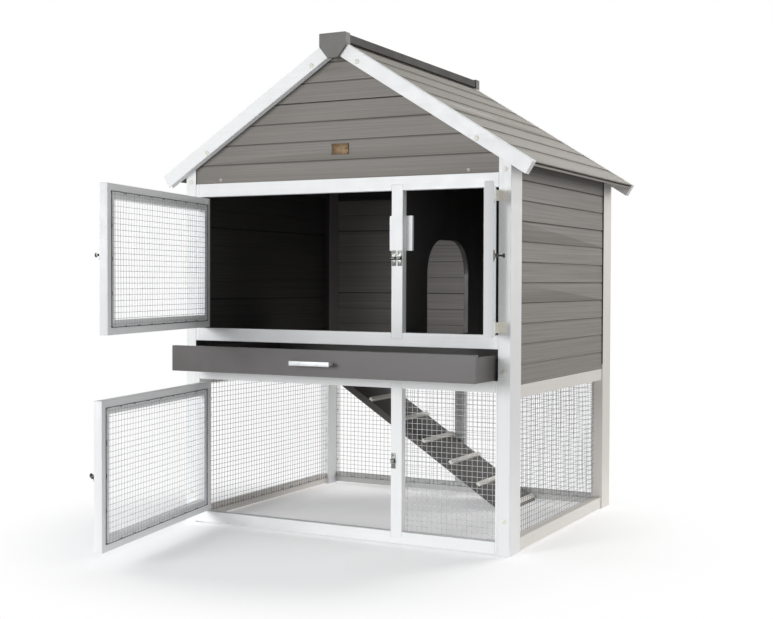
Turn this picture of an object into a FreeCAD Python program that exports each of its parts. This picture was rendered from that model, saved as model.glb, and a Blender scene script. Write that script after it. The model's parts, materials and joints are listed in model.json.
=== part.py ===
import FreeCAD, Part
import math
import os

# Two-storey rabbit hutch. Millimetres; front faces -Y, +X is to the right of a
# person facing the front and +Z is up. Doors, drawer, bolts and ramp are drawn in
# the rest pose: the doors stand open, the drawer is pulled part of the way out and
# the ramp is down. The hutch is drawn about its own middle, and at the end all of it
# is moved along Y, so that the origin is under the middle of the rest pose's box.

V = FreeCAD.Vector

# ---------------------------------------------------------------- driving sizes
WIDTH = 890.0            # over the corner posts, X
DEPTH = 744.0            # over the corner posts, Y
POST_W = 30.0            # corner post, across X
POST_D = 67.0            # corner post, across Y
RECESS = 3.0             # side and rear walls stand back from the posts
BOARD = 20.0             # thickness of rails, stiles and bars
RUN_FLOOR = 3.0          # underside of the bottom rails, above the feet
BOTTOM_RAIL_TOP = 31.0
LOWER_RAIL = (368.0, 395.0)
MIDDLE_RAIL = (466.0, 498.0)
TOP_RAIL = (830.0, 863.0)
SIDE_RAIL = (352.0, 382.0)
REAR_RAIL = (365.0, 395.0)

MULLION_X = 160.0        # centre of the front centre bars
MULLION_W = 29.0
MULLION_LAP = 14.0       # how far a centre bar is let into each rail
LEFT_JAMB_W = 11.0
RIGHT_JAMB_W = 5.0

LAP = 47.0               # height of one siding course
SIDING = 10.0            # siding thickness at the foot of a course
SIDING_STEP = 2.5        # how much thinner a course is at its head
SIDING_FALL = 0.7        # of which this much is lost up to the chamfer at its head
SIDING_CHAMFER = 3.6     # height of that chamfer
COURSES_PER_BOARD = 4

EAVE_X = 504.0           # half width of the roof, at its top surface
EAVE_Z = 884.0
ROOF_SLOPE = 0.628       # rise over run
ROOF_LAP = 81.0
ROOF_BOARD = 12.0
ROOF_STEP = 3.0
ROOF_COURSES = 3
MITRE_GAP = 0.2          # half the gap where the two slopes meet
BARGE_T = 20.0
BARGE_W = 34.0
BARGE_WALL = 4.0         # each side of the groove along a barge board's underside
BARGE_GROOVE = 5.0       # depth of that groove
EAVE_SLOT = (3.0, 7.5, 9.0)                # drip slot: from, to, depth
CAP_HALF = 34.0          # ridge cap
CAP_Z = (1183.0, 1203.0)
HOOD_HALF = 36.0         # hoods on the ends of the ridge cap
HOOD_Z = (1147.0, 1175.0, 1206.0)
HOOD_FOOT = 13.5
HOOD_T = 8.0
HOOD_LAP = 16.0
CAP_FIT = 0.3            # cap and hoods stand this far off the roof
CAP_GAP = 1.5            # from the end of the cap to each hood

MEMBER = 31.0            # door stiles and rails
DOOR_T = 19.6
MESH_T = 1.6
HINGE_OUT = 2.7          # hinge axis, in front of the door face
HINGE_R = 2.5
HINGE_PIN_R = 1.2
HINGE_FIT = 0.06         # radial clearance on each pin
LEAF_T = 1.2
LEAF_H = 24.0
LEAF_INSET = 2.0         # hinge leaf, in from the door's top and bottom edges

LEFT_AXIS_X = -394.0
RIGHT_AXIS_X = 413.5
DOOR_GAP = 1.5
UPPER_DOOR_Z = (501.0, 825.0)
LOWER_DOOR_Z = (35.0, 361.0)
UPPER_LEFT_OPEN = 78.0   # degrees
UPPER_RIGHT_OPEN = 111.0
LOWER_OPEN = 79.5
UPPER_BOLT_Z = 672.0
LOWER_BOLT_Z = 197.0
BOLT_GUIDES = ((1.0, 6.0), (26.0, 31.0))   # from the plate's outer end
BOLT_KNOB = 23.5         # drawn back; the bolt slides 14 outwards

STOP_T = 8.0             # plate behind the upper centre bar that stops both doors
PLATE_T = 1.7            # blank name plate
PLATE_SEAT = 0.15        # the lapped board falls back this far under the plate

DRAWER_HALF = 408.0
DRAWER_Z = (395.5, 458.0)
DRAWER_BACK = 116.0      # back of the closed drawer
DRAWER_OUT = 108.0       # how far it is pulled out at rest
HANDLE_W = 108.0
HANDLE_OUT = 26.0

RAMP_Y = (142.0, 342.0)
RAMP_TAN = 0.651
RAMP_T = 19.0
RAMP_TOP_X = -345.0      # hinge line at the landing
RAMP_TOP_Z = 384.0       # ramp's upper surface under the hinge line
RAMP_FOOT_X = 240.0
RAMP_PIN_OUT = 1.8       # hinge axis above the ramp's surface
CLEATS = 7
CLEAT_FIRST = 86.0       # along the slope from the hinge line
CLEAT_PITCH = 99.0
CLEAT = (12.0, 8.0)

WALL_TOP = 905.0         # top of the side walls, up between the roof boards
BATTEN_Z = (872.0, 903.0)
BATTEN_T = 18.0
RIDGE_BEAM_FOOT = 1140.0
RIDGE_BEAM_HALF = 12.0

PARTITION_T = 13.0
ARCH_Y = (-220.0, 28.0)  # arched doorway between the two upper rooms
ARCH_Z = (483.0, 722.0)
ARCH_CORNER = 85.0
HATCH_EDGE_X = -90.0     # the ramp's hatch is left of this
STOP_HALF = 30.0         # door stop plate
STOP_Z = (690.0, 772.0)
NAME_PLATE_X = (-18.0, 28.0)
NAME_PLATE_Z = (921.0, 947.0)
NAME_PLATE_CORNER = 4.0

SCREW_HEAD = (4.0, 2.4, 0.6, 0.8)          # rim radius, crown radius, rim height, rise
POST_SCREW_Z = (78.0, 414.0, 869.0)
BARGE_SCREWS = ((62.0, 1134.0), (368.0, 939.0))
GABLE_SCREW = (340.0, 872.0)

# ---------------------------------------------------------------- derived places
HX = WIDTH / 2
HY = DEPTH / 2
IN_X = HX - POST_W                 # inner faces of the posts
IN_Y = HY - POST_D
FRONT = -HY                        # plane of the front frame and closed doors
SIDE_OUT = HX - RECESS             # outer faces of the side and rear walls
REAR_OUT = HY - RECESS
ROOF_ANGLE = math.atan(ROOF_SLOPE)
ROOF_LEN = EAVE_X / math.cos(ROOF_ANGLE)
APEX_Z = EAVE_Z + EAVE_X * ROOF_SLOPE
MULLION_L = MULLION_X - MULLION_W / 2
MULLION_R = MULLION_X + MULLION_W / 2
AXIS_Y = FRONT - HINGE_OUT
FLOOR_BEARER_Y = (120.0, 138.0)
BEARER_Z = (377.0, 395.0)
BEARER_W = 18.0
FLOOR_T = 10.0
RAMP_ANGLE = math.atan(RAMP_TAN)
RAMP_PIN_Z = RAMP_TOP_Z + RAMP_PIN_OUT / math.cos(RAMP_ANGLE)
LANDING_Z = (372.0, RAMP_PIN_Z - RAMP_PIN_OUT)

nodes = {}


# ---------------------------------------------------------------- shape helpers
def box(x0, x1, y0, y1, z0, z1):
    return Part.makeBox(x1 - x0, y1 - y0, z1 - z0, V(x0, y0, z0))


def mirror_x(shape):
    return shape.mirror(V(0, 0, 0), V(1, 0, 0))


def mirror_y(shape):
    return shape.mirror(V(0, 0, 0), V(0, 1, 0))


def prism_y(points, y0, y1):
    """A closed outline in X and Z, drawn out along Y."""
    corners = [V(x, y0, z) for x, z in points]
    face = Part.Face(Part.makePolygon(corners + corners[:1]))
    return face.extrude(V(0, y1 - y0, 0))


def prism_x(points, x0, x1):
    """A closed outline in Y and Z, drawn out along X."""
    corners = [V(x0, y, z) for y, z in points]
    face = Part.Face(Part.makePolygon(corners + corners[:1]))
    return face.extrude(V(x1 - x0, 0, 0))


def rod(start, direction, length, radius):
    return Part.makeCylinder(radius, length, V(*start), V(*direction))


def turned(shape, centre, degrees):
    """A copy turned about a vertical axis through centre."""
    copy = shape.copy()
    copy.rotate(V(*centre), V(0, 0, 1), degrees)
    return copy


def add(name, *shapes):
    nodes.setdefault(name, []).extend(shapes)


def roof_point(s, t):
    """Right-hand slope: s up the slope from the eave, t out of its top surface."""
    c, k = math.cos(ROOF_ANGLE), math.sin(ROOF_ANGLE)
    return (EAVE_X - s * c + t * k, EAVE_Z + s * k + t * c)


def below_roof(clearance):
    """Everything under the roof boards, less a clearance."""
    t = -(ROOF_BOARD + clearance)
    right = roof_point(-40, t)
    top = APEX_Z + t / math.cos(ROOF_ANGLE)
    outline = [(-right[0], -10), (right[0], -10), right, (0, top), (-right[0], right[1])]
    return prism_y(outline, -HY - 50, HY + 50)


def siding_profile(z0, z1):
    """Outline of one siding board: (distance back from its outer face, height)."""
    points = [(SIDING, z0)]
    z = z0
    while z < z1 - 0.01:
        head = min(z + LAP, z1)
        points.append((0.0, z))
        points.append((SIDING_FALL, head - SIDING_CHAMFER))
        points.append((SIDING_STEP, head))
        z = head
    points.append((SIDING, z1))
    return points


def siding_boards(z0, z1, place, extrude):
    """Stack boards of whole courses from z0 up to z1."""
    boards = []
    z = z0
    height = LAP * COURSES_PER_BOARD
    while z < z1 - 0.01:
        top = min(z + height, z1)
        outline = [(place(back), level) for back, level in siding_profile(z, top)]
        boards.append(extrude(outline))
        z = top
    return boards


# ---------------------------------------------------------------- corner posts
def corner_posts():
    roof_line = below_roof(0.3)
    for side, sign in (("left", -1), ("right", 1)):
        for end, back in (("front", -1), ("rear", 1)):
            x0, x1 = sorted((sign * HX, sign * IN_X))
            y0, y1 = sorted((back * HY, back * IN_Y))
            add(f"{end}_{side}_post", box(x0, x1, y0, y1, 0, APEX_Z).common(roof_line))


# ---------------------------------------------------------------- front frames
def front_frames():
    y0, y1 = FRONT, FRONT + BOARD
    jamb_left = -IN_X + LEFT_JAMB_W
    jamb_right = IN_X - RIGHT_JAMB_W
    upper_bar = (MIDDLE_RAIL[1] - MULLION_LAP, TOP_RAIL[0] + MULLION_LAP)
    lower_bar = (BOTTOM_RAIL_TOP - MULLION_LAP, LOWER_RAIL[0] + MULLION_LAP)
    for name, (low, high) in (("upper_centre_bar", upper_bar), ("lower_centre_bar", lower_bar)):
        add(name, box(MULLION_L, MULLION_R, y0, y1, low, high))
    bars = nodes["upper_centre_bar"] + nodes["lower_centre_bar"]

    rails = (("front_top_rail", TOP_RAIL, IN_X), ("front_middle_rail", MIDDLE_RAIL, IN_X),
             ("front_lower_rail", LOWER_RAIL, jamb_right),
             ("front_bottom_rail", (RUN_FLOOR, BOTTOM_RAIL_TOP), jamb_right))
    for name, (low, high), right in rails:
        rail = box(jamb_left, right, y0, y1, low, high)
        for bar in bars:
            rail = rail.cut(bar)
        add(name, rail)
    add("front_jambs",
        box(-IN_X, jamb_left, y0, y1, MIDDLE_RAIL[0], TOP_RAIL[1]),
        box(-IN_X, jamb_left, y0, y1, RUN_FLOOR, LOWER_RAIL[1]),
        box(jamb_right, IN_X, y0, y1, RUN_FLOOR, LOWER_RAIL[1]))


# ---------------------------------------------------------------- side and rear frames
def side_and_rear_frames():
    inner = SIDE_OUT - BOARD
    for sign in (-1, 1):
        x0, x1 = sorted((sign * inner, sign * SIDE_OUT))
        add("side_rails",
            box(x0, x1, -IN_Y, IN_Y, *SIDE_RAIL),
            box(x0, x1, -IN_Y, IN_Y, RUN_FLOOR, BOTTOM_RAIL_TOP))
    y0, y1 = REAR_OUT - BOARD, REAR_OUT
    half_stile = 15.0
    add("rear_frame",
        box(-IN_X, IN_X, y0, y1, *REAR_RAIL),
        box(-IN_X, IN_X, y0, y1, RUN_FLOOR, BOTTOM_RAIL_TOP),
        box(-half_stile, half_stile, y0, y1, BOTTOM_RAIL_TOP, REAR_RAIL[0]))


# ---------------------------------------------------------------- siding
def siding():
    roof_line = below_roof(0.3)
    for name, sign in (("left_wall_boards", -1), ("right_wall_boards", 1)):
        def draw(outline, sign=sign):
            return prism_y([(sign * x, z) for x, z in outline], -IN_Y, IN_Y)
        add(name, *siding_boards(SIDE_RAIL[1], WALL_TOP, lambda back: SIDE_OUT - back, draw))

    def across_rear(outline):
        return prism_x(outline, -IN_X, IN_X).common(roof_line)

    def across_front(outline):
        return prism_x([(-y, z) for y, z in outline], -IN_X, IN_X).common(roof_line)

    add("rear_wall_boards",
        *siding_boards(REAR_RAIL[1], TOP_RAIL[1], lambda back: REAR_OUT - back, across_rear))
    add("rear_gable_boards",
        *siding_boards(TOP_RAIL[1], APEX_Z, lambda back: REAR_OUT - back, across_rear))
    add("front_gable_boards",
        *siding_boards(TOP_RAIL[1], APEX_Z, lambda back: REAR_OUT - back, across_front))


# ---------------------------------------------------------------- mesh panels
def mesh_panels():
    inner = SIDE_OUT - BOARD
    low = BOTTOM_RAIL_TOP - 15
    for name, sign in (("left_run_mesh", -1), ("right_run_mesh", 1)):
        x0, x1 = sorted((sign * inner, sign * (inner - MESH_T)))
        add(name, box(x0, x1, -IN_Y + 0.5, IN_Y - 0.5, low, SIDE_RAIL[0] + 15))
    rear = REAR_OUT - BOARD
    add("rear_run_mesh", box(-IN_X + 0.5, IN_X - 0.5, rear - MESH_T, rear, low, REAR_RAIL[0] + 14))
    front = FRONT + BOARD
    add("front_run_mesh",
        box(MULLION_X, IN_X - 0.5, front, front + MESH_T, low, LOWER_RAIL[0] + 8))


# ---------------------------------------------------------------- roof
def roof():
    y0, y1 = -HY, HY
    mitre = box(MITRE_GAP, EAVE_X + 50, y0, y1, 0, APEX_Z + 50)
    width = ROOF_LAP * ROOF_COURSES
    s = 0.0
    while s < ROOF_LEN:
        top = min(s + width, ROOF_LEN)
        outline = [(s, -ROOF_BOARD)]
        if s == 0:
            lip, sill, depth = EAVE_SLOT
            outline += [(0, -sill), (depth, -sill), (depth, -lip), (0, -lip)]
        lap = s
        while lap < top - 0.01:
            head = min(lap + ROOF_LAP, top)
            outline.append((lap, 0.0))
            outline.append((head, -ROOF_STEP * (head - lap) / ROOF_LAP))
            lap = head
        outline.append((top, -ROOF_BOARD))
        board = prism_y([roof_point(*p) for p in outline], y0, y1).common(mitre)
        add("right_roof_boards", board)
        add("left_roof_boards", mirror_x(board))
        s = top

    ends = HY + BARGE_T
    ridge = APEX_Z + CAP_FIT
    low, high = CAP_Z
    seat = (ridge - low) / ROOF_SLOPE
    cap = [(-CAP_HALF, low), (-seat, low), (0, ridge), (seat, low), (CAP_HALF, low),
           (CAP_HALF, high), (-CAP_HALF, high)]
    add("ridge_cap", prism_y(cap, HOOD_LAP + CAP_GAP - ends, ends - HOOD_LAP - CAP_GAP))
    foot, shoulder, crown = HOOD_Z
    plate = [(-HOOD_HALF, crown), (-HOOD_HALF, shoulder), (-HOOD_FOOT, foot),
             (HOOD_FOOT, foot), (HOOD_HALF, shoulder), (HOOD_HALF, crown)]
    brim = ridge - HOOD_HALF * ROOF_SLOPE
    skirt = [(-HOOD_HALF, brim), (0, ridge), (HOOD_HALF, brim), (HOOD_HALF, crown),
             (-HOOD_HALF, crown)]
    hood = prism_y(plate, -ends - HOOD_T, -ends).fuse(prism_y(skirt, -ends, HOOD_LAP - ends))
    hood = hood.removeSplitter()
    add("ridge_end_caps", hood, mirror_y(hood))

    for y in (-HY - BARGE_T, HY):
        outline = [(MITRE_GAP, APEX_Z - MITRE_GAP * ROOF_SLOPE), roof_point(0, 0),
                   roof_point(0, -BARGE_W),
                   (MITRE_GAP, APEX_Z - BARGE_W / math.cos(ROOF_ANGLE))]
        board = prism_y(outline, y, y + BARGE_T)
        slot = [roof_point(-1, -6), roof_point(-1, -BARGE_W + 8),
                roof_point(14, -BARGE_W + 8), roof_point(14, -6)]
        board = board.cut(prism_y(slot, y + 7, y + 12))
        groove = [roof_point(-1, -BARGE_W - 1), roof_point(-1, -BARGE_W + BARGE_GROOVE),
                  roof_point(ROOF_LEN + BARGE_W, -BARGE_W + BARGE_GROOVE),
                  roof_point(ROOF_LEN + BARGE_W, -BARGE_W - 1)]
        board = board.cut(prism_y(groove, y + BARGE_WALL, y + BARGE_T - BARGE_WALL))
        add("barge_boards", board, mirror_x(board))

    roof_line = below_roof(0.3)
    batten_x = SIDE_OUT - SIDING
    gable_in = REAR_OUT - SIDING
    half = RIDGE_BEAM_HALF
    beam = box(-half, half, -gable_in, gable_in, RIDGE_BEAM_FOOT, APEX_Z).common(roof_line)
    batten = box(batten_x - BATTEN_T, batten_x, -IN_Y, IN_Y, *BATTEN_Z)
    add("roof_battens", beam, batten, mirror_x(batten))


# ---------------------------------------------------------------- upper storey fittings
def partition():
    """Wall between the two upper rooms, with an arched doorway.

    It stands on the rear floor and is clear of the drawer in front of that.
    """
    x0, x1 = MULLION_X - PARTITION_T / 2, MULLION_X + PARTITION_T / 2
    front = FRONT + BOARD + STOP_T
    rear = REAR_OUT - SIDING
    over_drawer = MIDDLE_RAIL[0] + 2
    wall = box(x0, x1, front, rear, over_drawer, APEX_Z).common(below_roof(1.0))
    wall = wall.fuse(box(x0, x1, FLOOR_BEARER_Y[1], rear, BEARER_Z[1] + FLOOR_T, over_drawer))
    doorway = box(x0 - 5, x1 + 5, *ARCH_Y, *ARCH_Z)
    edges = [e for e in doorway.Edges
             if e.BoundBox.ZMin > ARCH_Z[1] - 1 and e.BoundBox.XLength > PARTITION_T]
    wall = wall.cut(doorway.makeFillet(ARCH_CORNER, edges))
    add("arch_partition", wall.removeSplitter())


def storey_floor():
    y0, y1 = FLOOR_BEARER_Y
    z0, z1 = BEARER_Z
    wall_x = SIDE_OUT - BOARD
    behind = REAR_OUT - BOARD - MESH_T - 0.4
    add("rear_floor", box(HATCH_EDGE_X, IN_X - 0.5, y0, REAR_OUT - SIDING, z1, z1 + FLOOR_T))
    add("floor_bearers",
        box(-wall_x, wall_x, y0, y1, z0, z1),
        box(IN_X - BEARER_W, IN_X, y1, behind, z0, z1),
        box(-IN_X, -IN_X + BEARER_W, y1, behind, LANDING_Z[0] - BEARER_W, LANDING_Z[0]))
    for sign in (-1, 1):
        x0, x1 = sorted((sign * IN_X, sign * (IN_X - BEARER_W)))
        add("floor_bearers", box(x0, x1, FRONT + BOARD, y0, z0, z1))
    add("ramp_landing", box(-IN_X + 0.5, RAMP_TOP_X - 2, *RAMP_Y, *LANDING_Z))


def stop_and_plate():
    back = FRONT + BOARD
    x0, x1 = MULLION_X - STOP_HALF, MULLION_X + STOP_HALF
    add("door_stop", box(x0, x1, back, back + STOP_T, *STOP_Z))
    seat = -REAR_OUT + PLATE_SEAT
    plate = box(*NAME_PLATE_X, seat - PLATE_T, seat, *NAME_PLATE_Z)
    corners = [e for e in plate.Edges if e.BoundBox.YLength > 1]
    add("name_plate", plate.makeFillet(NAME_PLATE_CORNER, corners))


# ---------------------------------------------------------------- hinges
def hinge(x, z, toward_door, fixed_reach):
    """One butt hinge on the front face: fixed leaf, pin and door leaf, door closed.

    The fixed leaf has the top and bottom knuckles and the door leaf the middle one.
    """
    third = LEAF_H / 3
    gap = 0.3
    bore = HINGE_PIN_R + HINGE_FIT
    y_leaf = (FRONT - LEAF_T, FRONT)

    def leaf(sign, reach, z0, z1):
        x0, x1 = sorted((x, x + sign * reach))
        return box(x0, x1, *y_leaf, z0, z1)

    barrel = rod((x, AXIS_Y, z - 1), (0, 0, 1), LEAF_H + 2, HINGE_R + 0.25)
    fixed = leaf(-toward_door, fixed_reach, z, z + LEAF_H)
    middle = rod((x, AXIS_Y, z + third), (0, 0, 1), third, HINGE_R + 0.25)
    fixed = fixed.cut(middle)
    for z0 in (z, z + 2 * third):
        fixed = fixed.fuse(rod((x, AXIS_Y, z0), (0, 0, 1), third, HINGE_R))
    fixed = fixed.cut(rod((x, AXIS_Y, z - 1), (0, 0, 1), LEAF_H + 2, HINGE_PIN_R))

    moving = leaf(toward_door, 20, z, z + LEAF_H).cut(barrel)
    tongue = leaf(toward_door, 8, z + third + gap, z + 2 * third - gap)
    centre = rod((x, AXIS_Y, z + third + gap), (0, 0, 1), third - 2 * gap, HINGE_R)
    moving = moving.fuse(tongue).fuse(centre)
    moving = moving.cut(rod((x, AXIS_Y, z - 1), (0, 0, 1), LEAF_H + 2, bore))
    pin = rod((x, AXIS_Y, z), (0, 0, 1), LEAF_H, HINGE_PIN_R)
    return fixed, pin, moving


# ---------------------------------------------------------------- doors
def door_frame(x0, x1, z0, z1):
    y0, y1 = FRONT, FRONT + DOOR_T
    return [box(x0, x0 + MEMBER, y0, y1, z0, z1), box(x1 - MEMBER, x1, y0, y1, z0, z1),
            box(x0 + MEMBER, x1 - MEMBER, y0, y1, z0, z0 + MEMBER),
            box(x0 + MEMBER, x1 - MEMBER, y0, y1, z1 - MEMBER, z1)]


def barrel_bolt(x_edge, z, toward_edge):
    """Barrel bolt on the front face by the door's free edge: case and sliding rod."""
    plate_t, rod_r, rod_len = 1.5, 2.5, 35.0
    y_rod = FRONT - plate_t - 3.6
    length, half_high = 34.0, 12.0
    near = x_edge - toward_edge * 2.0

    def span(a, b):
        return sorted((near - toward_edge * a, near - toward_edge * b))

    case = box(*span(0, length), FRONT - plate_t, FRONT, z - half_high, z + half_high)
    for a, b in BOLT_GUIDES:
        case = case.fuse(box(*span(a, b), y_rod - 4.4, FRONT - plate_t, z - 5, z + 5))
    bore = rod((near - toward_edge * (length + 5), y_rod, z), (toward_edge, 0, 0),
               length + 10, rod_r + 0.08)
    case = case.cut(bore)
    start = near - toward_edge * (rod_len + 1)
    bolt = rod((start, y_rod, z), (toward_edge, 0, 0), rod_len, rod_r)
    knob_x = near - toward_edge * BOLT_KNOB
    stem, knob = 8.5, 2.5
    bolt = bolt.fuse(rod((knob_x, y_rod, z), (0, -1, 0), stem, 2.0))
    bolt = bolt.fuse(rod((knob_x, y_rod - stem, z), (0, -1, 0), knob, 3.6))
    return case, bolt


def keeper(x, z):
    """Strap that a bolt slides into, on the centre bar."""
    half, foot, loop, stand, metal = 5.5, 18.0, 8.2, 11.0, 1.4
    strap = box(x - half, x + half, FRONT - 1.2, FRONT, z - foot, z + foot)
    for z0 in (z - loop, z + loop - metal):
        strap = strap.fuse(box(x - half, x + half, FRONT - stand, FRONT, z0, z0 + metal))
    bridge = box(x - half, x + half, FRONT - stand, FRONT - stand + metal, z - loop, z + loop)
    return strap.fuse(bridge).removeSplitter()


def make_door(name, axis_x, free_x, z_range, open_degrees, bolt_z, fixed_reach):
    """A framed mesh door; it is built closed and then swung open about its hinges."""
    toward = 1 if free_x > axis_x else -1
    hinge_x = axis_x + toward * DOOR_GAP
    x0, x1 = sorted((hinge_x, free_x))
    z0, z1 = z_range
    swing = -toward * open_degrees
    centre = (axis_x, AXIS_Y, 0)

    def swung(shape):
        return turned(shape, centre, swing)

    add(f"{name}_frame", *[swung(s) for s in door_frame(x0, x1, z0, z1)])
    lap = MEMBER / 2
    mesh = box(x0 + lap, x1 - lap, FRONT + DOOR_T, FRONT + DOOR_T + MESH_T, z0 + lap, z1 - lap)
    add(f"{name}_mesh", swung(mesh))
    for z in (z0 + LEAF_INSET, z1 - LEAF_INSET - LEAF_H):
        fixed, pin, moving = hinge(axis_x, z, toward, fixed_reach)
        add("hinge_plates", fixed)
        add("hinge_pins", pin)
        add(f"{name}_hinge_leaves", swung(moving))
    case, bolt = barrel_bolt(free_x, bolt_z, toward)
    add(f"{name}_bolt_case", swung(case))
    add(f"{name}_bolt", swung(bolt))


def doors():
    left_free = MULLION_L - 2.0
    right_free = MULLION_R + 3.0
    make_door("upper_left_door", LEFT_AXIS_X, left_free, UPPER_DOOR_Z, UPPER_LEFT_OPEN,
              UPPER_BOLT_Z, 30)
    make_door("upper_right_door", RIGHT_AXIS_X, right_free, UPPER_DOOR_Z, UPPER_RIGHT_OPEN,
              UPPER_BOLT_Z, 22)
    make_door("lower_door", LEFT_AXIS_X, left_free, LOWER_DOOR_Z, LOWER_OPEN, LOWER_BOLT_Z, 30)
    add("bolt_keepers",
        keeper(MULLION_L + 7, UPPER_BOLT_Z),
        keeper(MULLION_R - 7, UPPER_BOLT_Z),
        keeper(MULLION_L + 7, LOWER_BOLT_Z))


# ---------------------------------------------------------------- drawer
def drawer():
    z0, z1 = DRAWER_Z
    front = FRONT - DRAWER_OUT
    back = DRAWER_BACK - DRAWER_OUT
    thick, wall, base = 12.0, 10.0, 5.0
    half = DRAWER_HALF
    add("drawer_front", box(-half, half, front, front + thick, z0, z1))
    add("drawer_tray",
        box(-half, -half + wall, front + thick, back, z0, z1 - 6),
        box(half - wall, half, front + thick, back, z0, z1 - 6),
        box(-half + wall, half - wall, back - wall, back, z0, z1 - 6),
        box(-half + wall, half - wall, front + thick, back - wall, z0 + 1, z0 + 1 + base))
    bar_z = 427.0
    end = HANDLE_W / 2
    handle = box(-end, end, front - HANDLE_OUT, front - HANDLE_OUT + 4, bar_z - 5.5, bar_z + 5.5)
    for sign in (-1, 1):
        x = sign * (end - 6)
        leg = box(x - 4, x + 4, front - HANDLE_OUT + 4, front, bar_z - 5.5, bar_z + 5.5)
        handle = handle.fuse(leg)
    add("drawer_handle", handle.removeSplitter())


# ---------------------------------------------------------------- ramp
def ramp():
    y0, y1 = RAMP_Y
    drop = RAMP_T / math.cos(RAMP_ANGLE)
    heel = 1.5

    def top(x):
        return RAMP_TOP_Z - RAMP_TAN * (x - RAMP_TOP_X)

    start = RAMP_TOP_X + 2.0
    heel_x = RAMP_TOP_X + (RAMP_TOP_Z - drop - heel) / RAMP_TAN
    outline = [(start, top(start)), (RAMP_FOOT_X, top(RAMP_FOOT_X)), (RAMP_FOOT_X, heel),
               (heel_x, heel), (start, top(start) - drop)]
    add("ramp_board", prism_y(outline, y0, y1))

    wide, high = CLEAT
    c, k = math.cos(RAMP_ANGLE), math.sin(RAMP_ANGLE)
    for number in range(CLEATS):
        s = CLEAT_FIRST + CLEAT_PITCH * number
        x, z = RAMP_TOP_X + s * c, RAMP_TOP_Z - s * k
        corners = [(x, z), (x + wide * c, z - wide * k),
                   (x + wide * c + high * k, z - wide * k + high * c),
                   (x + high * k, z + high * c)]
        add("ramp_cleats", prism_y(corners, y0, y1))

    from_edge = 45.0
    for middle in (y0 + from_edge, y1 - from_edge):
        fixed, pin, moving = ramp_hinge(middle)
        add("ramp_hinge_plates", fixed, pin)
        add("ramp_hinge_leaves", moving)


def ramp_hinge(middle):
    """Butt hinge along Y: its fixed leaf lies on the landing, the other on the ramp."""
    barrel_r, pin_r, leaf_t, reach, third, gap = 1.75, 0.9, 1.2, 18.0, 10.0, 0.3
    x, z = RAMP_TOP_X, RAMP_PIN_Z
    y0, y1 = middle - 1.5 * third, middle + 1.5 * third
    under = z - RAMP_PIN_OUT

    def along(start, length, radius):
        return rod((x, start, z), (0, 1, 0), length, radius)

    fixed = box(x - reach, x, y0, y1, under, under + leaf_t)
    fixed = fixed.cut(along(y0 + third, third, barrel_r + 0.25))
    for start in (y0, y0 + 2 * third):
        fixed = fixed.fuse(along(start, third, barrel_r))
    fixed = fixed.cut(along(y0 - 1, 3 * third + 2, pin_r))
    pin = along(y0, 3 * third, pin_r)
    moving = box(x, x + reach, y0, y1, under, under + leaf_t)
    moving = moving.cut(along(y0 - 1, 3 * third + 2, barrel_r + 0.25))
    inside = (y0 + third + gap, y0 + 2 * third - gap)
    moving = moving.fuse(box(x, x + 6, *inside, under, under + leaf_t))
    moving = moving.fuse(along(inside[0], third - 2 * gap, barrel_r))
    moving = moving.cut(along(y0 - 1, 3 * third + 2, pin_r + HINGE_FIT))
    moving.rotate(V(x, 0, z), V(0, 1, 0), math.degrees(RAMP_ANGLE))
    return fixed, pin, moving


# ---------------------------------------------------------------- screws
def screws():
    """Low raised heads standing on the front faces."""
    rim, crown, side, rise = SCREW_HEAD

    def head(x, y, z):
        base = rod((x, y, z), (0, -1, 0), side, rim)
        top = Part.makeCone(rim, crown, rise, V(x, y - side, z), V(0, -1, 0))
        return base.fuse(top)

    post_x = HX - POST_W / 2
    for sign in (-1, 1):
        for z in POST_SCREW_Z:
            post_head = head(sign * post_x, FRONT, z)
            add("frame_screws", post_head, mirror_y(post_head))
        for x, z in BARGE_SCREWS:
            add("frame_screws", head(sign * x, -HY - BARGE_T, z))
        x, z = GABLE_SCREW
        add("frame_screws", head(sign * x, -REAR_OUT + PLATE_SEAT / 2, z))


corner_posts()
front_frames()
side_and_rear_frames()
siding()
mesh_panels()
roof()
partition()
storey_floor()
stop_and_plate()
doors()
drawer()
ramp()
screws()

everything = Part.makeCompound([shape for shapes in nodes.values() for shape in shapes])
ORIGIN_Y = (everything.BoundBox.YMin + everything.BoundBox.YMax) / 2

os.makedirs("parts", exist_ok=True)
for name, shapes in nodes.items():
    shape = shapes[0] if len(shapes) == 1 else Part.makeCompound(shapes)
    shape = shape.translated(V(0, -ORIGIN_Y, 0))
    if not shape.isValid():
        print("invalid:", name)
    shape.exportStep(f"parts/{name}.step")
print(len(nodes), "nodes,", sum(len(s.Solids) for v in nodes.values() for s in v), "solids")
print("moved along Y by", round(-ORIGIN_Y, 3), "box", everything.BoundBox)
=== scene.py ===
import json
import math
import random

import bmesh
import bpy
from mathutils import Matrix, Vector, noise


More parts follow.
